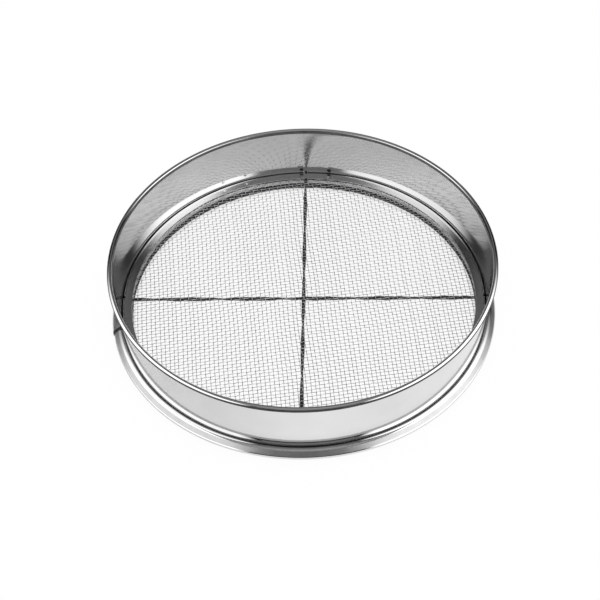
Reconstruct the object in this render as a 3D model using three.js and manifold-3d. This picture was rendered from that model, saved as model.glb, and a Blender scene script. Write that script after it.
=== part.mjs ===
// Round kitchen sieve: a tapered sheet hoop with a wired rim stands in a rolled foot ring and holds
// a bound disc of wire mesh over a cross of twisted support wires.
// Millimetres, +Z up, origin at the centre of the underside.

import * as THREE from 'three';
import { mergeGeometries, mergeVertices } from 'three/addons/utils/BufferGeometryUtils.js';
import Module from 'manifold-3d';

// Driving dimensions: the hoop
const overallHeight = 58;
const rimDiameter = 304;
const hoopBaseDiameter = 289; // inside, at the hidden bottom edge
const sheetThickness = 0.8;
const rimWireDiameter = 1.8;
const rimCurlDegrees = 285;

// Driving dimensions: the foot ring
const footEdgeRadius = 2.2; // outside of the bend at the lower edge
const footFaceLength = 2.9;
const footFaceDegrees = 40; // slope of the face from level
const footShoulderRadius = 5;
const footLipDegrees = 105; // direction of the lip from the centre of the shoulder
const innerBeadDiameter = 4.6;
const innerBeadCurlDegrees = 260;
const innerBeadGap = 2.25; // between the inner bead and the hoop

// Driving dimensions: the mesh and its binding
const skirtGap = 2.4; // between the inner bead and the skirt above it
const skirtHeight = 2.7;
const skirtBendRadius = 1.2; // outside of the bend between skirt and binding
const skirtInset = 0.3; // skirt behind the inner edge of the binding
const bindingWidth = 7.5;
const meshThickness = 1.1;
const netPitch = 20;
const netBarWidth = 0.9;
const netTurnDegrees = 8;
const smallestGap = 3; // depth below which a gap at the edge is left out

// Driving dimensions: the support cross
const crossWireDiameter = 1.2;
const crossLay = 52; // length of one full twist
const crossDipSpan = 36; // half length of the bend where one pair passes under the other
const crossArms = 4;

// Fits and facets
const clearance = 0.3;
const ringSegments = 48;
const arcStep = THREE.MathUtils.degToRad(32);
const wireSides = 6;
const wireStepsPerTwist = 6;
const weldDistance = 1e-4; // points closer than this are one point

const wasm = await Module();
wasm.setup();

// Points of an arc about a centre, both ends included
function arcPoints(centre, radius, startAngle, endAngle) {
  const steps = Math.max(2, Math.ceil(Math.abs(endAngle - startAngle) / arcStep));
  return Array.from({ length: steps + 1 }, (_, i) => {
    const angle = startAngle + ((endAngle - startAngle) * i) / steps;
    return new THREE.Vector2(
      centre.x + radius * Math.cos(angle),
      centre.y + radius * Math.sin(angle),
    );
  });
}

// Outline of a sheet that follows a centre line, with half the thickness on each side
function sheetOutline(line, thickness) {
  const left = [];
  const right = [];
  line.forEach((point, i) => {
    const before = line[Math.max(i - 1, 0)];
    const after = line[Math.min(i + 1, line.length - 1)];
    const along = after.clone().sub(before).normalize();
    const across = new THREE.Vector2(-along.y, along.x);
    left.push(point.clone().addScaledVector(across, thickness / 2));
    right.push(point.clone().addScaledVector(across, -thickness / 2));
  });
  return [...left, ...right.reverse()];
}

// Ring swept by a closed outline whose x is the radius and whose y is the height
function ring(outline) {
  const loop = THREE.ShapeUtils.isClockWise(outline) ? [...outline].reverse() : [...outline];
  loop.push(loop[0].clone());
  return new THREE.LatheGeometry(loop, ringSegments).rotateX(Math.PI / 2);
}

function toSolid(geometry) {
  const bare = new THREE.BufferGeometry();
  bare.setAttribute('position', geometry.getAttribute('position'));
  bare.setIndex(geometry.getIndex());
  const merged = mergeVertices(bare, weldDistance);
  return new wasm.Manifold(new wasm.Mesh({
    numProp: 3,
    vertProperties: new Float32Array(merged.getAttribute('position').array),
    triVerts: new Uint32Array(merged.getIndex().array),
  }));
}

function fromSolid(solid) {
  const mesh = solid.getMesh();
  const geometry = new THREE.BufferGeometry();
  geometry.setAttribute('position', new THREE.BufferAttribute(mesh.vertProperties, 3));
  geometry.setIndex(new THREE.BufferAttribute(mesh.triVerts, 1));
  geometry.computeVertexNormals();
  return geometry;
}

// Hoop: straight tapered wall whose top rolls outwards and down round the rim wire
const rimBeadRadius = rimWireDiameter / 2 + clearance + sheetThickness;
const rimCentre = new THREE.Vector2(rimDiameter / 2 - rimBeadRadius, overallHeight - rimBeadRadius);
const rimCurlRadius = rimBeadRadius - sheetThickness / 2;
const hoopBase = new THREE.Vector2(
  (hoopBaseDiameter + sheetThickness) / 2,
  sheetThickness + clearance,
);

const toRim = rimCentre.clone().sub(hoopBase);
const wallAngle = toRim.angle() + Math.asin(rimCurlRadius / toRim.length());
const curlStart = wallAngle + Math.PI / 2;

function hoopGeometry() {
  const curlEnd = curlStart - THREE.MathUtils.degToRad(rimCurlDegrees);
  const curl = arcPoints(rimCentre, rimCurlRadius, curlStart, curlEnd);
  return ring(sheetOutline([hoopBase, ...curl], sheetThickness));
}

// Radius of the wall's middle surface at a height
function wallRadius(height) {
  return hoopBase.x + (height - hoopBase.y) / Math.tan(wallAngle);
}

const hoopInside = (height) => wallRadius(height) - sheetThickness / 2;
const hoopOutside = (height) => wallRadius(height) + sheetThickness / 2;

// Rim wire: lies in the bore of the rolled rim
function rimWireGeometry() {
  const outline = Array.from({ length: wireSides }, (_, i) => {
    const angle = (2 * Math.PI * i) / wireSides;
    return new THREE.Vector2(Math.cos(angle), Math.sin(angle))
      .multiplyScalar(rimWireDiameter / 2)
      .add(rimCentre);
  });
  return ring(outline);
}

// Heights of the stack inside the hoop: skirt, binding, mesh and the cross under it
const skirtBottom = innerBeadDiameter + skirtGap;
const bindingBottom = skirtBottom + skirtHeight;
const meshBottom = bindingBottom + sheetThickness + clearance;
const meshMiddle = meshBottom + meshThickness / 2;
const bindingFoldRadius = meshThickness / 2 + clearance + sheetThickness / 2;
const bindingTop = meshMiddle + bindingFoldRadius + sheetThickness / 2;

const bindingOuter = hoopInside(meshMiddle) - clearance;
const bindingInner = bindingOuter - bindingWidth;
const foldCentre = bindingOuter - sheetThickness / 2 - bindingFoldRadius;

const pairRadius = crossWireDiameter + clearance / 2;
const crossTop = meshBottom - clearance;
const crossHeight = crossTop - pairRadius;
const crossEnd = bindingOuter - clearance;
const notchWidth = 2 * (pairRadius + clearance);

// Bar along one arm of the cross, used to cut the notches
function armCutter(arm, fromRadius, toRadius, floor, ceiling) {
  const cutter = new THREE.BoxGeometry(toRadius - fromRadius, notchWidth, ceiling - floor);
  cutter.translate((fromRadius + toRadius) / 2, 0, (floor + ceiling) / 2);
  return toSolid(cutter.rotateZ((2 * Math.PI * arm) / crossArms));
}

function cutArms(geometry, fromRadius, toRadius, floor, ceiling) {
  let solid = toSolid(geometry);
  for (let arm = 0; arm < crossArms; arm += 1) {
    solid = solid.subtract(armCutter(arm, fromRadius, toRadius, floor, ceiling));
  }
  return fromSolid(solid);
}

// Foot ring: inner edge rolled to a bead, flat web that the part stands on, and a sloping face whose
// shoulder closes against the outside of the hoop
function footRingGeometry() {
  const middle = sheetThickness / 2;
  const faceNormal = Math.PI / 2 - THREE.MathUtils.degToRad(footFaceDegrees);
  const lipAngle = THREE.MathUtils.degToRad(footLipDegrees);
  const shoulderShift = new THREE.Vector2(footEdgeRadius - footShoulderRadius, footFaceLength)
    .rotateAround(new THREE.Vector2(), faceNormal);
  const shoulderHeight = footEdgeRadius + shoulderShift.y;
  const lipHeight = shoulderHeight + footShoulderRadius * Math.sin(lipAngle);
  const lipRadius = hoopOutside(lipHeight) + clearance;
  const shoulderCentre = new THREE.Vector2(
    lipRadius - footShoulderRadius * Math.cos(lipAngle),
    shoulderHeight,
  );
  const edgeCentre = shoulderCentre.clone().sub(shoulderShift);
  const beadRadius = innerBeadDiameter / 2;
  const beadCentre = new THREE.Vector2(hoopInside(hoopBase.y) - innerBeadGap - beadRadius, beadRadius);
  const beadStart = 1.5 * Math.PI - THREE.MathUtils.degToRad(innerBeadCurlDegrees);
  const line = [
    ...arcPoints(beadCentre, beadRadius - middle, beadStart, 1.5 * Math.PI),
    ...arcPoints(edgeCentre, footEdgeRadius - middle, -Math.PI / 2, faceNormal),
    ...arcPoints(shoulderCentre, footShoulderRadius - middle, faceNormal, lipAngle),
  ];
  return ring(sheetOutline(line, sheetThickness));
}

// Binding: strip folded over the edge of the mesh and turned down inside, notched for the support wires
function bindingGeometry() {
  const upperLeg = meshMiddle + bindingFoldRadius;
  const lowerLeg = meshMiddle - bindingFoldRadius;
  const skirtMiddle = bindingInner + skirtInset + sheetThickness / 2;
  const bendRadius = skirtBendRadius - sheetThickness / 2;
  const bendCentre = new THREE.Vector2(skirtMiddle + bendRadius, lowerLeg - bendRadius);
  const line = [
    new THREE.Vector2(bindingInner, upperLeg),
    ...arcPoints(new THREE.Vector2(foldCentre, meshMiddle), bindingFoldRadius, Math.PI / 2, -Math.PI / 2),
    ...arcPoints(bendCentre, bendRadius, Math.PI / 2, Math.PI),
    new THREE.Vector2(skirtMiddle, skirtBottom),
  ];
  const plain = ring(sheetOutline(line, sheetThickness));
  const notchEnd = bindingOuter + clearance;
  const notchRoof = crossTop + clearance / 2;
  const below = cutArms(plain, bindingInner, notchEnd, skirtBottom - clearance, notchRoof);
  return cutArms(below, foldCentre, notchEnd, crossTop, bindingTop + clearance);
}

// Disc about the axis between two heights
function discSolid(radius, low, high) {
  const disc = new THREE.CylinderGeometry(radius, radius, high - low, ringSegments);
  return toSolid(disc.rotateX(Math.PI / 2).translate(0, 0, (low + high) / 2));
}

// Mesh: a disc pierced by a square pattern of gaps, with a plain edge for the binding to hold
function meshGeometry() {
  const gapRadius = bindingInner + clearance;
  const cutBottom = meshBottom - meshThickness;
  const cutTop = meshBottom + 2 * meshThickness;
  const reach = Math.ceil(gapRadius / netPitch);
  const side = netPitch - netBarWidth;
  const middles = [];
  for (let i = -reach; i < reach; i += 1) {
    for (let j = -reach; j < reach; j += 1) {
      middles.push(new THREE.Vector2(i + 0.5, j + 0.5).multiplyScalar(netPitch));
    }
  }
  const nearestCorner = (m) => Math.hypot(Math.abs(m.x) - side / 2, Math.abs(m.y) - side / 2);
  const cutters = middles
    .filter((middle) => nearestCorner(middle) < gapRadius - smallestGap)
    .map((middle) => new THREE.BoxGeometry(side, side, cutTop - cutBottom)
      .translate(middle.x, middle.y, meshMiddle));
  const pattern = toSolid(mergeGeometries(cutters).rotateZ(THREE.MathUtils.degToRad(netTurnDegrees)));
  const gaps = pattern.intersect(discSolid(gapRadius, cutBottom, cutTop));
  return fromSolid(discSolid(foldCentre, meshBottom, meshBottom + meshThickness).subtract(gaps));
}

// Support wire: one strand of a twisted pair, along X or Y, that may dip under the other pair
class StrandCurve extends THREE.Curve {
  constructor(alongY, phase, dip) {
    super();
    Object.assign(this, { alongY, phase, dip });
  }

  getPoint(t, target = new THREE.Vector3()) {
    const along = (2 * t - 1) * crossEnd;
    const angle = (2 * Math.PI * along) / crossLay + this.phase;
    const offset = (crossWireDiameter + clearance) / 2;
    const bend = Math.min(1, Math.abs(along) / crossDipSpan);
    const sag = (this.dip * (1 + Math.cos(Math.PI * bend))) / 2;
    const aside = offset * Math.cos(angle);
    const height = crossHeight - sag + offset * Math.sin(angle);
    return this.alongY ? target.set(-aside, along, height) : target.set(along, aside, height);
  }
}

function strandGeometry(alongY, phase, dip) {
  const section = new THREE.Shape(
    Array.from({ length: wireSides }, (_, i) => {
      const angle = (2 * Math.PI * i) / wireSides;
      return new THREE.Vector2(Math.cos(angle), Math.sin(angle)).multiplyScalar(crossWireDiameter / 2);
    }),
  );
  const steps = Math.ceil(((2 * crossEnd) / crossLay) * wireStepsPerTwist);
  return new THREE.ExtrudeGeometry(section, {
    steps,
    extrudePath: new StrandCurve(alongY, phase, dip),
  });
}

const polishedSteel = { color: 0xc9cacb, metalness: 1, roughness: 0.16 };
const meshSteel = { color: 0xb4b5b6, metalness: 1, roughness: 0.3 };
const darkWire = { color: 0x5a5b5c, metalness: 1, roughness: 0.42 };

const sieve = new THREE.Group();

function place(name, geometry, finish) {
  const mesh = new THREE.Mesh(geometry, new THREE.MeshStandardMaterial(finish));
  mesh.name = name;
  sieve.add(mesh);
}

place('hoop', hoopGeometry(), polishedSteel);
place('rim_wire', rimWireGeometry(), meshSteel);
place('foot_ring', footRingGeometry(), polishedSteel);
place('mesh_binding', bindingGeometry(), polishedSteel);
place('wire_mesh', meshGeometry(), meshSteel);

const crossDip = 2 * pairRadius + clearance;
for (const [index, phase] of [0, Math.PI].entries()) {
  place(`cross_strand_x_${index + 1}`, strandGeometry(false, phase, 0), darkWire);
  place(`cross_strand_y_${index + 1}`, strandGeometry(true, phase, crossDip), darkWire);
}

export default sieve;
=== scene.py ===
# Round kitchen sieve: looks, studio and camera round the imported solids, in metres
import math
import random

import bmesh
import bpy
from mathutils import Matrix, Vector


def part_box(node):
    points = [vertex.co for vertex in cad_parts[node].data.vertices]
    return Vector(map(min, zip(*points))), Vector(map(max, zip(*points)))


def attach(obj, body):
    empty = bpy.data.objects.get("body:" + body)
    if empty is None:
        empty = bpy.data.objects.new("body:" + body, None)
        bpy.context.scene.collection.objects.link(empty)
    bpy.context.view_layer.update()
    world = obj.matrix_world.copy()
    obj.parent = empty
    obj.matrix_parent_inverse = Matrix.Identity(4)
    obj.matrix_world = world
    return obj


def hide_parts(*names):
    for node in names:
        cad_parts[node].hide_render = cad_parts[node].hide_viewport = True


mm = 0.001
mergeDistance = 0.001 * mm
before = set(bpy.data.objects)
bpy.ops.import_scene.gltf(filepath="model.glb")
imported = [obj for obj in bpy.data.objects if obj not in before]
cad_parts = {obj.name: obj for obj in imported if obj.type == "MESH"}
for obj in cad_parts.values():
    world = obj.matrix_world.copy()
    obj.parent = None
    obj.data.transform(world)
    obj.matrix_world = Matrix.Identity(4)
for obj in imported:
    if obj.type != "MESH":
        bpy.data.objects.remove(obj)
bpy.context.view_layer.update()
scene = bpy.context.scene
print("frame loaded:", len(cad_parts), "solids")


# Small helpers for node trees

noisePlan = {"detail": 3.0, "middle": (0.3, 0.7)}


def newMaterial(name):
    material = bpy.data.materials.new(name)
    material.use_nodes = True
    tree = material.node_tree
    return material, tree, tree.nodes["Principled BSDF"]


def addNode(tree, kind, **settings):
    node = tree.nodes.new(kind)
    for key, value in settings.items():
        setattr(node, key, value)
    return node


def noiseOn(tree, size):
    place = addNode(tree, "ShaderNodeTexCoord")
    noise = addNode(tree, "ShaderNodeTexNoise")
    noise.inputs["Scale"].default_value = size
    noise.inputs["Detail"].default_value = noisePlan["detail"]
    tree.links.new(place.outputs["Object"], noise.inputs["Vector"])
    return noise.outputs["Fac"]


def spread(tree, value, low, high):
    # maps the middle of a noise to a range
    node = addNode(tree, "ShaderNodeMapRange")
    fromLow, fromHigh = noisePlan["middle"]
    node.inputs["From Min"].default_value = fromLow
    node.inputs["From Max"].default_value = fromHigh
    node.inputs["To Min"].default_value = low
    node.inputs["To Max"].default_value = high
    tree.links.new(value, node.inputs["Value"])
    return node.outputs["Result"]


def greyFrom(tree, value):
    grey = addNode(tree, "ShaderNodeCombineColor")
    for channel in ("Red", "Green", "Blue"):
        tree.links.new(value, grey.inputs[channel])
    return grey.outputs["Color"]


def feed(tree, socket, value):
    # gives an input a number or another node's socket
    if isinstance(value, bpy.types.NodeSocket):
        tree.links.new(value, socket)
    else:
        socket.default_value = value


def rampNode(tree, value, start, end, low, high):
    # a soft step between two levels
    node = addNode(tree, "ShaderNodeMapRange", interpolation_type="SMOOTHSTEP")
    tree.links.new(value, node.inputs["Value"])
    node.inputs["From Min"].default_value = start
    node.inputs["From Max"].default_value = end
    feed(tree, node.inputs["To Min"], low)
    feed(tree, node.inputs["To Max"], high)
    return node.outputs["Result"]


def mathNode(tree, operation, *values):
    node = addNode(tree, "ShaderNodeMath", operation=operation)
    for socket, value in zip(node.inputs, values):
        feed(tree, socket, value)
    return node.outputs[0]


def axesOn(tree, source="Object"):
    # the three parts of a texture coordinate
    place = addNode(tree, "ShaderNodeTexCoord")
    split = addNode(tree, "ShaderNodeSeparateXYZ")
    tree.links.new(place.outputs[source], split.inputs[0])
    return split.outputs["X"], split.outputs["Y"], split.outputs["Z"]


def dotOn(tree, direction, source="Object"):
    # how far a texture coordinate reaches in a direction
    place = addNode(tree, "ShaderNodeTexCoord")
    reach = addNode(tree, "ShaderNodeVectorMath", operation="DOT_PRODUCT")
    reach.inputs[1].default_value = direction
    tree.links.new(place.outputs[source], reach.inputs[0])
    return reach.outputs["Value"]


def radiusOn(tree):
    # distance from the axis
    place = addNode(tree, "ShaderNodeTexCoord")
    flat = addNode(tree, "ShaderNodeVectorMath", operation="MULTIPLY")
    flat.inputs[1].default_value = (1, 1, 0)
    radius = addNode(tree, "ShaderNodeVectorMath", operation="LENGTH")
    tree.links.new(place.outputs["Object"], flat.inputs[0])
    tree.links.new(flat.outputs["Vector"], radius.inputs[0])
    return radius.outputs["Value"]


def mixShaders(tree, share, first, second):
    blend = addNode(tree, "ShaderNodeMixShader")
    tree.links.new(share, blend.inputs["Fac"])
    tree.links.new(first.outputs[0], blend.inputs[1])
    tree.links.new(second.outputs[0], blend.inputs[2])
    return blend


# Finishes, with painted shade for the rolled rim, the foot's lip and bead, the lap's end, the binding's
# fold and the mesh crimps

polishPlan = {"tone": (0.70, 0.76), "roughness": (0.05, 0.08), "grain": 24.0}
insidePlan = {"tone": (0.80, 0.86), "roughness": (0.08, 0.11), "grain": 24.0, "soft": 0.1 * mm}
ledgePlan = {
    "tone": (0.56, 0.62),
    "roughness": (0.13, 0.17),
    "grain": 24.0,
    "fold": (144.25 * mm, 144.5 * mm),
}
# painted shade, dark and rough, for the steep and lower sides of the rolled rim
rollShadePlan = {
    "tone": (0.04, 0.08),
    "roughness": (0.30, 0.40),
    "grain": 60.0,
    "downturn": (0.48, 0.72),
    "middle": (149.8 * mm, 150.2 * mm),
    "foot": (54.4 * mm, 54.8 * mm),
}
footDullPlan = {
    "tone": (0.38, 0.46),
    "roughness": (0.28, 0.32),
    "grain": 90.0,
    "bead": (142.6 * mm, 143.0 * mm),
    "inner": (146.8 * mm, 147.3 * mm),
    "face": (149.4 * mm, 149.9 * mm),
    "outer": (152.6 * mm, 153.0 * mm),
    "lower": (2.0 * mm, 2.6 * mm),
}
weavePlan = {"tone": (0.90, 0.95), "roughness": (0.3, 0.4), "grain": 300.0}
# painted shade for the crimp slopes of the steep wires
warpShadePlan = {"tone": (0.03, 0.08), "roughness": (0.3, 0.4), "grain": 300.0, "lean": (-0.06, 0.10)}
# painted shade for the crimp slopes of the level wires
weftShadePlan = {
    "tone": (0.20, 0.28),
    "roughness": (0.3, 0.4),
    "grain": 300.0,
    "lean": (-0.10, 0.04),
    "turnOver": (-45.0 * mm, 0.0),
}
weaveMetal = 0.3
# painted shadow for the crevice between the binding's fold and the wall
foldShadePlan = {"tone": (0.02, 0.04), "roughness": (0.5, 0.6), "grain": 60.0}
supportPlan = {"tone": (0.08, 0.14), "roughness": (0.35, 0.5), "grain": 420.0}
# painted shade, dark and rough, for the inner half of the rolled rim and for the foot's lip where it meets
# the hoop
lipShadePlan = {"tone": (0.14, 0.22), "roughness": (0.28, 0.36), "grain": 60.0}
# weld burn, also used as painted shade on the foot's inner bead and on the end of the lap
burnAndShadePlan = {"tone": (0.04, 0.08), "roughness": (0.35, 0.45), "grain": 420.0}


def finishOn(tree, plan):
    # tone and gloss that wander together
    cloud = noiseOn(tree, plan["grain"])
    return greyFrom(tree, spread(tree, cloud, *plan["tone"])), spread(tree, cloud, *plan["roughness"])


def blendFinish(tree, share, first, second):
    # goes from one finish to another where the share is one
    tone = addNode(tree, "ShaderNodeMix", data_type="RGBA")
    tree.links.new(share, tone.inputs["Factor"])
    tree.links.new(first[0], tone.inputs[6])  # the colour sockets A and B
    tree.links.new(second[0], tone.inputs[7])
    return tone.outputs[2], rampNode(tree, share, 0, 1, first[1], second[1])


def metalWith(tree, steel, finish, metal=1.0):
    steel.inputs["Metallic"].default_value = metal
    tree.links.new(finish[0], steel.inputs["Base Color"])
    tree.links.new(finish[1], steel.inputs["Roughness"])


def plainSteel(name, plan, metal=1.0):
    material, tree, steel = newMaterial(name)
    metalWith(tree, steel, finishOn(tree, plan), metal)
    return material


def wovenSteel(name, plan, angle):
    # pale wire with painted shade on the slopes of its crimp that lean back along it, or forward past a
    # turn-over
    material, tree, steel = newMaterial(name)
    turn = math.radians(angle)
    slope = dotOn(tree, (math.cos(turn), math.sin(turn), 0), "Normal")
    if "turnOver" in plan:
        x = axesOn(tree)[0]
        slope = mathNode(tree, "MULTIPLY", slope, rampNode(tree, x, *plan["turnOver"], 1, -1))
    # painted shade on the crimp slopes that lean one way
    dark = rampNode(tree, slope, *plan["lean"], 1, 0)
    finish = blendFinish(tree, dark, finishOn(tree, weavePlan), finishOn(tree, plan))
    metalWith(tree, steel, finish, weaveMetal)
    return material


def hoopSheet(wallRadius, wallSlope):
    # bright outside and rim, a softer sheen inside, and painted shade, dark and rough, on the steep and
    # lower sides of the roll, darker on its outer half
    material, tree, steel = newMaterial("hoop_sheet")
    radius = radiusOn(tree)
    height = axesOn(tree)[2]
    depth = mathNode(tree, "MULTIPLY_ADD", height, -wallSlope, radius)
    soft = insidePlan["soft"]
    inside = rampNode(tree, depth, wallRadius - soft, wallRadius + soft, 1, 0)
    # painted shade where the roll's surface turns sideways or down
    upward = axesOn(tree, "Normal")[2]
    steep = rampNode(tree, upward, *rollShadePlan["downturn"], 1, 0)
    under = rampNode(tree, height, *rollShadePlan["foot"], 0, steep)
    finish = blendFinish(tree, inside, finishOn(tree, polishPlan), finishOn(tree, insidePlan))
    outer = rampNode(tree, radius, *rollShadePlan["middle"], 0, 1)
    sides = blendFinish(tree, outer, finishOn(tree, lipShadePlan), finishOn(tree, rollShadePlan))
    metalWith(tree, steel, blendFinish(tree, under, finish, sides))
    return material


def footSheet():
    # polished bends and a dull sloping face, with painted shade on the inner side: a dark lip where it
    # meets the hoop and a nearly black inner bead under the binding
    material, tree, steel = newMaterial("foot_sheet")
    plan = footDullPlan
    radius = radiusOn(tree)
    height = axesOn(tree)[2]
    outer = rampNode(tree, radius, *plan["outer"], rampNode(tree, height, *plan["lower"], 0, 1), 0)
    face = rampNode(tree, radius, *plan["face"], 0, outer)
    inner = rampNode(tree, radius, *plan["inner"], 1, 0)
    # painted shade: the inner bead under the binding is nearly black
    bead = rampNode(tree, radius, *plan["bead"], 1, 0)
    finish = blendFinish(tree, face, finishOn(tree, polishPlan), finishOn(tree, plan))
    finish = blendFinish(tree, inner, finish, finishOn(tree, lipShadePlan))
    metalWith(tree, steel, blendFinish(tree, bead, finish, finishOn(tree, burnAndShadePlan)))
    return material


def ledgeSheet():
    # satin strip with a painted shadow line along the fold, where it meets the wall
    material, tree, steel = newMaterial("ledge_sheet")
    fold = rampNode(tree, radiusOn(tree), *ledgePlan["fold"], 0, 1)
    metalWith(tree, steel, blendFinish(tree, fold, finishOn(tree, ledgePlan), finishOn(tree, foldShadePlan)))
    tree.links.new(rampNode(tree, fold, 0, 1, 1, 0), steel.inputs["Metallic"])
    return material


sheetSteel = plainSteel("polished_sheet", polishPlan)
footSteel = footSheet()
ledgeSteel = ledgeSheet()
weaveSteel = plainSteel("mesh_wire", weavePlan, weaveMetal)
supportSteel = plainSteel("support_wire", supportPlan)
burnAndShadeSteel = plainSteel("weld_burn_and_shade", burnAndShadePlan)
print("finishes made")


# Shapes: lines in the radius and height plane, spun about the axis

def arcLine(centre, radius, start, end, steps):
    points = []
    for i in range(steps + 1):
        angle = math.radians(start + (end - start) * i / steps)
        points.append((centre[0] + radius * math.cos(angle), centre[1] + radius * math.sin(angle)))
    return points


def straightLine(first, last, steps):
    return [tuple(Vector(first).lerp(Vector(last), i / steps)) for i in range(steps)]


def spinLine(line, around, closed=False):
    # the first ring starts half a step back, so that a band of faces is centred on each arm of the cross
    bm = bmesh.new()
    back = -math.pi / around
    verts = [bm.verts.new((r * math.cos(back), r * math.sin(back), z)) for r, z in line]
    pairs = list(zip(verts, verts[1:]))
    if closed:
        pairs.append((verts[-1], verts[0]))
    edges = [bm.edges.new(pair) for pair in pairs]
    bmesh.ops.spin(bm, geom=verts + edges, axis=(0, 0, 1), cent=(0, 0, 0),
                   angle=2 * math.pi, steps=around, use_merge=True)
    bmesh.ops.remove_doubles(bm, verts=bm.verts, dist=mergeDistance)
    bmesh.ops.recalc_face_normals(bm, faces=bm.faces)
    return bm


def ripple(bm, amount, lobes):
    # slow uneven roundness of thin rolled sheet
    for vert in bm.verts:
        angle = math.atan2(vert.co.y, vert.co.x)
        push = sum(math.sin(count * angle + shift) for count, shift in lobes) / len(lobes)
        flat = Vector((vert.co.x, vert.co.y, 0)).normalized()
        vert.co += flat * push * amount


def onArm(point, around):
    # true in the band of faces centred on an arm of the cross
    turn = math.degrees(math.atan2(point.y, point.x)) % 90
    return min(turn, 90 - turn) < 90 / around


def objectFrom(name, bm, material):
    mesh = bpy.data.meshes.new(name)
    bm.to_mesh(mesh)
    bm.free()
    mesh.materials.append(material)
    made = bpy.data.objects.new(name, mesh)
    scene.collection.objects.link(made)
    return made


def placePiece(name, bm, material, slot, *nodes):
    piece = objectFrom(name, bm, material)
    for face in piece.data.polygons:
        face.use_smooth = True
    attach(piece, "root")
    if nodes:
        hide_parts(*nodes)
    return piece


bevelPlan = {"segments": 2, "sharpest": 50.0}


def thicken(piece, sheet, edge):
    wall = piece.modifiers.new("wall", "SOLIDIFY")
    wall.thickness = sheet
    wall.offset = 0.0
    wall.use_even_offset = True
    soft = piece.modifiers.new("softEdges", "BEVEL")
    soft.width = edge
    soft.segments = bevelPlan["segments"]
    soft.limit_method = "ANGLE"
    soft.angle_limit = math.radians(bevelPlan["sharpest"])
    soft.harden_normals = True


# Hoop: tapered wall whose top rolls outwards and down

hoopLow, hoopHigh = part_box("hoop")
hoopPlan = {
    "sheet": 0.8 * mm,
    "baseRadius": 144.9 * mm,
    "rollRadius": 2.0 * mm,
    "curl": 285.0,
    "curlSteps": 26,
    "wallBands": 12,
    "around": 288,
    "ripple": 0.08 * mm,
    "lobes": ((3, 0.4), (5, 2.0), (8, 4.1)),
    "edge": 0.15 * mm,
}

rollMiddle = hoopPlan["rollRadius"] - hoopPlan["sheet"] / 2
rollCentre = Vector((hoopHigh.x - hoopPlan["rollRadius"], hoopHigh.z - hoopPlan["rollRadius"]))
hoopBase = Vector((hoopPlan["baseRadius"], hoopLow.z))
toRoll = rollCentre - hoopBase
wallLean = math.atan2(toRoll.y, toRoll.x) + math.asin(rollMiddle / toRoll.length)


def hoopWallRadius(height):
    return hoopBase.x + (height - hoopBase.y) / math.tan(wallLean)


def buildHoop():
    plan = hoopPlan
    rollStart = math.degrees(wallLean) + 90
    roll = arcLine(rollCentre, rollMiddle, rollStart, rollStart - plan["curl"], plan["curlSteps"])
    line = straightLine(hoopBase, roll[0], plan["wallBands"]) + roll
    bm = spinLine(line, plan["around"])
    ripple(bm, plan["ripple"], plan["lobes"])
    slope = 1 / math.tan(wallLean)
    hoopSteel = hoopSheet(hoopBase.x - hoopBase.y * slope, slope)
    hoop = placePiece("hoopShell", bm, hoopSteel, "polished_steel", "hoop")
    thicken(hoop, plan["sheet"], plan["edge"])


buildHoop()
print("hoop made")


# Rim wire: lies in the bore of the rolled rim

rimWirePlan = {"sides": 16, "around": 192}


def buildRimWire():
    low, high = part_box("rim_wire")
    radius = (high.z - low.z) / 2
    centre = (high.x - radius, (low.z + high.z) / 2)
    section = arcLine(centre, radius, 0, 360, rimWirePlan["sides"])[:-1]
    bm = spinLine(section, rimWirePlan["around"], closed=True)
    placePiece("rimWireRing", bm, weaveSteel, "mesh_steel", "rim_wire")


buildRimWire()
print("rim wire made")


# Weld marks: flat tool prints on the inside of the wall, with burnt spots below two of them

weldPlan = {
    "prints": ((91.8, 19.2 * mm, 2.6 * mm), (81.6, 18.8 * mm, 2.3 * mm),
               (110.8, 18.4 * mm, 1.6 * mm), (118.9, 18.4 * mm, 1.6 * mm)),
    "spots": ((91.4, 15.6 * mm, 1.8 * mm), (82.0, 15.4 * mm, 1.9 * mm)),
    "rise": 0.14 * mm,
    "border": 0.4 * mm,
    "shoulder": 0.75,
    "sink": 0.05 * mm,
    "around": 28,
}


def buildWeldMark(name, angle, height, radius, material):
    plan = weldPlan
    half = plan["border"] / 2
    section = [
        (0, -plan["sink"]),
        (radius, -plan["sink"]),
        (radius, 0),
        (radius - half, plan["rise"] * plan["shoulder"]),
        (radius - 2 * half, plan["rise"]),
        (0, plan["rise"]),
    ]
    bm = spinLine(section, plan["around"])
    wall = hoopWallRadius(height) - hoopPlan["sheet"] / 2
    out = Matrix.Translation((wall, 0, height)) @ Matrix.Rotation(-math.pi / 2, 4, "Y")
    turn = Matrix.Rotation(math.radians(angle), 4, "Z")
    bmesh.ops.transform(bm, matrix=turn @ out, verts=bm.verts)
    placePiece(name, bm, material, "polished_steel")


for number, mark in enumerate(weldPlan["prints"], 1):
    buildWeldMark(f"weldPrint{number}", *mark, sheetSteel)
for number, mark in enumerate(weldPlan["spots"], 1):
    buildWeldMark(f"weldSpot{number}", *mark, burnAndShadeSteel)
print("weld marks made")


# Foot ring: inner bead, flat web to stand on and a sloping face whose shoulder closes on the hoop

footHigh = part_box("foot_ring")[1]
footPlan = {
    "sheet": 0.8 * mm,
    "beadInside": 137.65 * mm,
    "beadRadius": 2.3 * mm,
    "beadCurl": 260.0,
    "edgeRadius": 2.2 * mm,
    "faceLength": 2.9 * mm,
    "faceSlope": 40.0,
    "shoulderRadius": 5.0 * mm,
    "lipAngle": 105.0,
    "bendSteps": 16,
    "around": 288,
    "edge": 0.15 * mm,
    "lapAngle": 191.8,
    "lapSpan": 20.0,
    "lapStart": -50.0,
    "lapSheet": 0.6 * mm,
    "lapSteps": 20,
}


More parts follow.
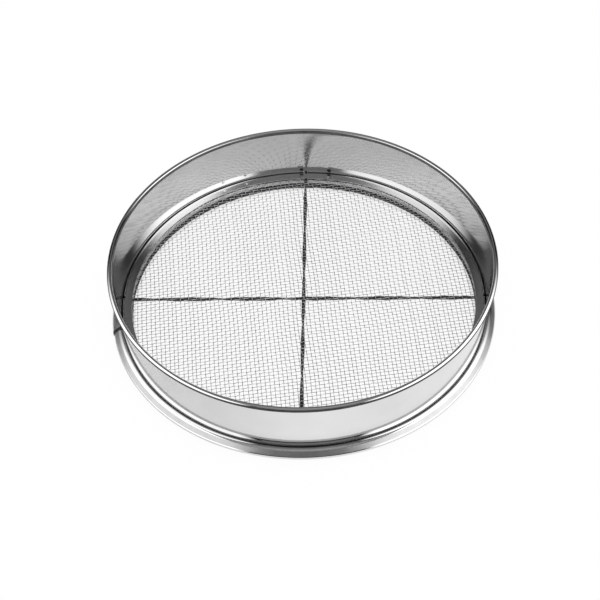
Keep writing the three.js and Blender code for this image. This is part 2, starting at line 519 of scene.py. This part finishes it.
def footFaceLine(start, push):
    # middle of the sheet from the lower edge to the lip, pushed outwards
    plan = footPlan
    middle = push - plan["sheet"] / 2
    normal = 90 - plan["faceSlope"]
    shift = Matrix.Rotation(math.radians(normal), 2) @ Vector((plan["edgeRadius"] - plan["shoulderRadius"],
                                                               plan["faceLength"]))
    edgeCentre = Vector((footHigh.x - plan["edgeRadius"], plan["edgeRadius"]))
    lower = arcLine(edgeCentre, plan["edgeRadius"] + middle, start, normal, plan["bendSteps"])
    upper = arcLine(edgeCentre + shift, plan["shoulderRadius"] + middle, normal, plan["lipAngle"],
                    plan["bendSteps"])
    return lower + upper


def buildFootRing():
    plan = footPlan
    beadCentre = (plan["beadInside"] + plan["beadRadius"], plan["beadRadius"])
    bead = arcLine(beadCentre, plan["beadRadius"] - plan["sheet"] / 2, 270 - plan["beadCurl"], 270,
                   2 * plan["bendSteps"])
    bm = spinLine(bead + footFaceLine(-90, 0), plan["around"])
    foot = placePiece("footRing", bm, footSteel, "polished_steel", "foot_ring")
    thicken(foot, plan["sheet"], plan["edge"])


def buildFootLap():
    # the end of the strip lies over its start and sinks back into the ring; its first row of faces is
    # painted dark as the shade at the step of the lap
    plan = footPlan
    over = footFaceLine(plan["lapStart"], (plan["sheet"] + plan["lapSheet"]) / 2)
    under = footFaceLine(plan["lapStart"], 0)
    bm = bmesh.new()
    rows = []
    for i in range(plan["lapSteps"] + 1):
        gone = i / plan["lapSteps"]
        angle = math.radians(plan["lapAngle"] - plan["lapSpan"] * gone)
        points = [Vector(high).lerp(Vector(low), gone) for high, low in zip(over, under)]
        rows.append([bm.verts.new((r * math.cos(angle), r * math.sin(angle), z)) for r, z in points])
    for row, after in zip(rows, rows[1:]):
        for corners in zip(row, row[1:], after[1:], after):
            face = bm.faces.new(corners)
            # painted shade: the first row takes the dark burn finish
            face.material_index = 1 if row is rows[0] else 0
    bmesh.ops.recalc_face_normals(bm, faces=bm.faces)
    lap = placePiece("footLap", bm, footSteel, "polished_steel")
    lap.data.materials.append(burnAndShadeSteel)
    thicken(lap, plan["lapSheet"], plan["edge"])


buildFootRing()
buildFootLap()
print("foot ring made")


# Binding: strip folded over the edge of the mesh and turned down inside, notched for the support wires

bindLow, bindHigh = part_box("mesh_binding")
meshLow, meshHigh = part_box("wire_mesh")
meshMiddle = (meshLow.z + meshHigh.z) / 2
bindPlan = {
    "sheet": 0.8 * mm,
    "width": 7.5 * mm,
    "skirtInset": 0.3 * mm,
    "skirtBend": 0.8 * mm,
    "notchRoof": 10.65 * mm,
    "foldSteps": 14,
    "bendSteps": 6,
    "legBands": 4,
    "around": 288,
    "ripple": 0.06 * mm,
    "lobes": ((4, 1.0), (7, 0.2), (11, 3.3)),
    "edge": 0.25 * mm,
}


def buildBinding():
    plan = bindPlan
    half = plan["sheet"] / 2
    fold = bindHigh.z - half - meshMiddle
    foldCentre = (bindHigh.x - half - fold, meshMiddle)
    inner = bindHigh.x - plan["width"]
    skirt = inner + plan["skirtInset"] + half
    bend = plan["skirtBend"]
    turn = arcLine(foldCentre, fold, 90, -90, plan["foldSteps"])
    drop = arcLine((skirt + bend, meshMiddle - fold - bend), bend, 90, 180, plan["bendSteps"])
    line = straightLine((inner, meshMiddle + fold), turn[0], plan["legBands"]) + turn + drop
    bm = spinLine([*line, (skirt, bindLow.z)], plan["around"])
    ripple(bm, plan["ripple"], plan["lobes"])
    notches = []
    for face in bm.faces:
        place = face.calc_center_median()
        notched = place.z < plan["notchRoof"] or place.xy.length > foldCentre[0]
        if notched and onArm(place, plan["around"]):
            notches.append(face)
    bmesh.ops.delete(bm, geom=notches, context="FACES")
    binding = placePiece("meshBinding", bm, ledgeSteel, "polished_steel", "mesh_binding")
    thicken(binding, plan["sheet"], plan["edge"])


buildBinding()
print("binding made")


# Wires: tubes along lines

def wirePiece(name, lines, thickness, sideLevel, material, slot, *nodes):
    curve = bpy.data.curves.new(name + "Line", "CURVE")
    curve.dimensions = "3D"
    curve.bevel_depth = thickness / 2
    curve.bevel_resolution = sideLevel
    curve.use_fill_caps = True
    for line in lines:
        spline = curve.splines.new("POLY")
        spline.points.add(len(line) - 1)
        for point, place in zip(spline.points, line):
            point.co = (*place, 1.0)
    holder = bpy.data.objects.new(name + "Line", curve)
    scene.collection.objects.link(holder)
    ready = holder.evaluated_get(bpy.context.evaluated_depsgraph_get())
    tube = bpy.data.meshes.new_from_object(ready)
    bpy.data.objects.remove(holder)
    bpy.data.curves.remove(curve)
    bm = bmesh.new()
    bm.from_mesh(tube)
    bpy.data.meshes.remove(tube)
    bmesh.ops.remove_doubles(bm, verts=bm.verts, dist=mergeDistance)
    bmesh.ops.recalc_face_normals(bm, faces=bm.faces)
    return placePiece(name, bm, material, slot, *nodes)


# Mesh: plain weave of two families of crimped wires

meshPlan = {
    "wire": 0.42 * mm,
    "inset": 0.3 * mm,
    "steep": {"angle": 96.3, "pitch": 3.4 * mm, "uneven": 0.22 * mm, "crimp": 0.2 * mm},
    "level": {"angle": 9.8, "pitch": 3.17 * mm, "uneven": 0.12 * mm, "crimp": 0.24 * mm},
    "sideLevel": 1,
    "bow": 0.45 * mm,
    "bowLength": 95.0 * mm,
    "bowX": ((1.0, 0.6), (0.7, 0.0)),
    "bowY": ((0.8, 2.0), (0.6, 1.0)),
    "seed": 7,
}
meshReach = meshHigh.x - meshPlan["inset"]


def meshWires(family, chance):
    # offsets from the centre of the wires of one family
    count = int(meshReach / family["pitch"])
    offsets = []
    for i in range(-count, count + 1):
        offset = i * family["pitch"] + chance.gauss(0, family["uneven"])
        if abs(offset) < meshReach - family["pitch"] / 2:
            offsets.append(offset)
    return offsets


def bowed(point, plan):
    # slow drift of the whole weave, by a rate and a shift for each wave
    x, y, z = point
    wave = 2 * math.pi / plan["bowLength"]
    moved = []
    for place, other, waves in ((x, y, plan["bowX"]), (y, x, plan["bowY"])):
        (rate, shift), (ownRate, ownShift) = waves
        sway = plan["bow"] * math.sin(rate * wave * other + shift)
        moved.append(place + sway * math.cos(ownRate * wave * place + ownShift))
    return (*moved, z)


def familyAxes(family):
    # directions along and across the wires of one family
    turn = math.radians(family["angle"])
    along = Vector((math.cos(turn), math.sin(turn)))
    return along, Vector((along.y, -along.x))


def weaveLines(own, ownOffsets, other, otherOffsets, sign, plan):
    along, across = familyAxes(own)
    otherAcross = familyAxes(other)[1]
    flat = other["pitch"] / 4
    lines = []
    for i, offset in enumerate(ownOffsets):
        half = math.sqrt(meshReach ** 2 - offset ** 2)
        start = across * offset
        stops = []
        for j, otherOffset in enumerate(otherOffsets):
            s = (otherOffset - start.dot(otherAcross)) / along.dot(otherAcross)
            over = sign if (i + j) % 2 == 0 else -sign
            stops += [(s - flat, over), (s + flat, over)]
        stops = sorted(stop for stop in stops if abs(stop[0]) < half)
        line = []
        for s, over in [(-half, 0), *stops, (half, 0)]:
            place = start + along * s
            line.append(bowed((place.x, place.y, meshMiddle + over * own["crimp"]), plan))
        lines.append(line)
    return lines


def buildMesh():
    plan = meshPlan
    chance = random.Random(plan["seed"])
    steep = meshWires(plan["steep"], chance)
    level = meshWires(plan["level"], chance)
    steepLines = weaveLines(plan["steep"], steep, plan["level"], level, 1, plan)
    levelLines = weaveLines(plan["level"], level, plan["steep"], steep, -1, plan)
    warpSteel = wovenSteel("mesh_warp", warpShadePlan, plan["steep"]["angle"])
    weftSteel = wovenSteel("mesh_weft", weftShadePlan, plan["level"]["angle"])
    wire, sides = plan["wire"], plan["sideLevel"]
    first = wirePiece("meshWarp", steepLines, wire, sides, warpSteel, "mesh_steel", "wire_mesh")
    second = wirePiece("meshWeft", levelLines, wire, sides, weftSteel, "mesh_steel", "wire_mesh")
    print("mesh made:", len(steep), "by", len(level), "wires,", len(first.data.polygons), "and",
          len(second.data.polygons), "faces")


buildMesh()


# Support cross: two pairs of twisted wires under the mesh, one passing under the other

crossPlan = {
    "wire": 1.6 * mm,
    "spacing": 1.62 * mm,
    "lay": 104.0 * mm,
    "height": 9.0 * mm,
    "dip": 3.0 * mm,
    "dipSpan": 36.0 * mm,
    "reach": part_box("cross_strand_x_1")[1].x,
    "steps": 120,
    "sideLevel": 3,
}


def strandLine(alongY, phase, dip):
    plan = crossPlan
    line = []
    for i in range(plan["steps"] + 1):
        along = plan["reach"] * (2 * i / plan["steps"] - 1)
        angle = 2 * math.pi * along / plan["lay"] + phase
        bend = min(1, abs(along) / plan["dipSpan"])
        sag = dip * (1 + math.cos(math.pi * bend)) / 2
        aside = plan["spacing"] / 2 * math.cos(angle)
        height = plan["height"] - sag + plan["spacing"] / 2 * math.sin(angle)
        line.append((-aside, along, height) if alongY else (along, aside, height))
    return line


def buildCross():
    wire, sides = crossPlan["wire"], crossPlan["sideLevel"]
    for number, phase in ((1, 0.0), (2, math.pi)):
        for letter, alongY, dip in (("x", False, 0.0), ("y", True, crossPlan["dip"])):
            line = strandLine(alongY, phase, dip)
            node = f"cross_strand_{letter}_{number}"
            name = f"crossStrand{letter.upper()}{number}"
            wirePiece(name, [line], wire, sides, supportSteel, "support_wire", node)


buildCross()
print("support cross made")


# Camera at the angle of the photograph

cameraPlan = {
    "lens": 87.0,
    "sensor": 36.0,
    "aim": (0.0, 0.0, 56.0 * mm),
    "distance": 1129.8 * mm,
    "elevation": 45.93,
    "pan": -0.21,
    "tilt": 1.66,
    "roll": 2.23,
    "turn": 2.3,
}


def buildCamera():
    plan = cameraPlan
    rise = math.radians(plan["elevation"])
    fall = math.radians(plan["elevation"] + plan["tilt"])
    pan = math.radians(plan["pan"])
    spot = Vector(plan["aim"]) + Vector((0, -math.cos(rise), math.sin(rise))) * plan["distance"]
    forward = Vector((math.sin(pan) * math.cos(fall), math.cos(pan) * math.cos(fall), -math.sin(fall)))
    right = Vector((math.cos(pan), -math.sin(pan), 0))
    facing = Matrix((right, right.cross(forward), -forward)).transposed().to_4x4()
    roll = Matrix.Rotation(-math.radians(plan["roll"]), 4, "Z")
    turn = Matrix.Rotation(math.radians(plan["turn"]), 4, "Z")
    data = bpy.data.cameras.new("camera")
    data.lens = plan["lens"]
    data.sensor_width = plan["sensor"]
    camera = bpy.data.objects.new("camera", data)
    scene.collection.objects.link(camera)
    camera.matrix_world = turn @ Matrix.Translation(spot) @ facing @ roll
    scene.camera = camera


buildCamera()
scene.view_settings.view_transform = "Standard"
print("camera placed")


# Studio: white board to stand on, bright panels at the sides and dark gaps to the front and back

floorPlan = {
    "half": 195.0 * mm,
    "paint": (0.9, 0.9, 0.9, 1),
    "roughness": 0.9,
    # the dips just inside the foot's bead paint a shadow line on the board
    "seen": ((0.0, 0.97), (135.6, 0.96), (136.6, 0.6), (137.6, 0.85), (138.6, 0.75), (139.4, 0.0),
             (148.0, 0.9), (160.0, 0.97), (185.0, 1.0)),
    "mirrored": ((0.0, 0.35), (118.0, 0.3), (138.0, 0.0), (150.0, 0.6), (160.0, 1.0)),
    "leftShade": (-190.0 * mm, 20.0 * mm, 0.05, 1.0),
    "paintedSideLight": (15.0 * mm, 60.0 * mm, 0.8, 1.8),
    "outside": (125.0 * mm, 140.0 * mm),
}


def shareBy(tree, radius, stops):
    # a level for each radius in millimetres, between stops
    far = floorPlan["half"]
    ramp = addNode(tree, "ShaderNodeValToRGB")
    points = ramp.color_ramp.elements
    while len(points) < len(stops):
        points.new(1.0)
    for point, (stop, level) in zip(points, stops):
        point.position = stop * mm / far
        point.color = (level, level, level, 1)
    tree.links.new(mathNode(tree, "DIVIDE", radius, far), ramp.inputs["Fac"])
    return ramp.outputs["Color"]


def floorWhite():
    # board that shows white to the camera and in the steel, by radius, and is clear from below; a painted
    # shadow line lies just inside the foot's bead, and what the steel mirrors of the board has painted
    # shade to the left and painted light at the sides inside the hoop
    plan = floorPlan
    material, tree, paint = newMaterial("floor_white")
    paint.inputs["Base Color"].default_value = plan["paint"]
    paint.inputs["Roughness"].default_value = plan["roughness"]
    path = addNode(tree, "ShaderNodeLightPath").outputs
    radius = radiusOn(tree)
    x = axesOn(tree)[0]
    direct = mathNode(tree, "MAXIMUM", path["Is Camera Ray"], path["Is Transmission Ray"])
    white = mathNode(tree, "MULTIPLY", direct, shareBy(tree, radius, plan["seen"]))
    # painted light at the sides and painted shade to the left in what the steel mirrors of the board
    inner = rampNode(tree, mathNode(tree, "ABSOLUTE", x), *plan["paintedSideLight"])
    outer = rampNode(tree, x, *plan["leftShade"])
    shade = rampNode(tree, radius, *plan["outside"], inner, outer)
    shaded = mathNode(tree, "MULTIPLY", path["Is Glossy Ray"], shade)
    mirrored = mathNode(tree, "MULTIPLY", shaded, shareBy(tree, radius, plan["mirrored"]))
    share = mathNode(tree, "MAXIMUM", white, mirrored)
    glow = addNode(tree, "ShaderNodeEmission")
    below = addNode(tree, "ShaderNodeNewGeometry")
    clear = addNode(tree, "ShaderNodeBsdfTransparent")
    top = mixShaders(tree, below.outputs["Backfacing"], mixShaders(tree, share, paint, glow), clear)
    tree.links.new(top.outputs[0], tree.nodes["Material Output"].inputs["Surface"])
    return material


def buildFloor():
    bm = bmesh.new()
    bmesh.ops.create_grid(bm, x_segments=1, y_segments=1, size=floorPlan["half"])
    floor = objectFrom("floor", bm, floorWhite())


panelPlan = {
    "aside": 285.0 * mm,
    "front": -640.0 * mm,
    "back": 400.0 * mm,
    "top": 560.0 * mm,
    "backSlant": 0.7,
    "backFade": (-110.0 * mm, 60.0 * mm),
    "frontFade": (-620.0 * mm, -420.0 * mm),
    "topFade": (480.0 * mm, 560.0 * mm),
    "levels": {"left": (-1, 1.75), "right": (1, 2.1)},
}


def panelGlow(name, level):
    # light that fades towards the front, the back and the top
    plan = panelPlan
    material, tree, paint = newMaterial(name)
    tree.nodes.remove(paint)
    y, z = axesOn(tree)[1:]
    slant = dotOn(tree, (0, 1, -plan["backSlant"]))
    near = rampNode(tree, y, *plan["frontFade"], 0.0, level)
    deep = rampNode(tree, slant, *plan["backFade"], near, 0.0)
    glow = addNode(tree, "ShaderNodeEmission")
    tree.links.new(rampNode(tree, z, *plan["topFade"], deep, 0.0), glow.inputs["Strength"])
    tree.links.new(glow.outputs[0], tree.nodes["Material Output"].inputs["Surface"])
    return material


def buildPanel(name, side, level):
    # upright diffuser beside the sieve, seen in the steel but not by the camera
    plan = panelPlan
    turn = Matrix.Rotation(math.radians(cameraPlan["turn"]), 3, "Z")
    front, back, top = plan["front"], plan["back"], plan["top"]
    corners = ((front, 0), (back, 0), (back, top), (front, top))
    bm = bmesh.new()
    bm.faces.new([bm.verts.new(turn @ Vector((side * plan["aside"], y, z))) for y, z in corners])
    panel = objectFrom(name, bm, panelGlow(name, level))
    panel.visible_camera = False


skyPlan = {
    "front": (0.30, 0.60, 0.03, 0.24),
    "back": (0.22, 0.50, 0.15),
    "corner": (0.12, 0.35, 0.32, 0.04),
    "turnOver": (-0.3, 0.3),
    "overhead": (0.85, 1.0, 0.35),
    "horizon": (-0.05, 0.0, 0.05),
}


def buildSky():
    # dim surroundings, white where the camera looks past the board and where steel mirrors what lies below
    plan = skyPlan
    world = bpy.data.worlds.new("studio")
    scene.world = world
    world.use_nodes = True
    tree = world.node_tree
    background = tree.nodes["Background"]
    path = addNode(tree, "ShaderNodeLightPath").outputs
    x, y, z = axesOn(tree, "Generated")
    front = rampNode(tree, z, *plan["front"])
    corner = rampNode(tree, z, *plan["corner"])
    back = rampNode(tree, mathNode(tree, "ABSOLUTE", x), *plan["back"], corner)
    around = rampNode(tree, y, *plan["turnOver"], front, back)
    overLow, overHigh, overLevel = plan["overhead"]
    dome = rampNode(tree, z, overLow, overHigh, around, overLevel)
    floorLow, floorHigh, floorLevel = plan["horizon"]
    below = mathNode(tree, "MAXIMUM", path["Is Glossy Ray"], floorLevel)
    total = rampNode(tree, z, floorLow, floorHigh, below, dome)
    seen = mathNode(tree, "MAXIMUM", path["Is Camera Ray"], path["Is Transmission Ray"])
    choose = addNode(tree, "ShaderNodeMix", data_type="FLOAT")
    tree.links.new(seen, choose.inputs["Factor"])
    tree.links.new(total, choose.inputs["A"])
    choose.inputs["B"].default_value = 1.0
    tree.links.new(choose.outputs["Result"], background.inputs["Strength"])
    background.inputs["Color"].default_value = (1, 1, 1, 1)


buildFloor()
for side, level in panelPlan["levels"].items():
    buildPanel(f"{side}Panel", *level)
buildSky()
print("studio made")


print("scene built")
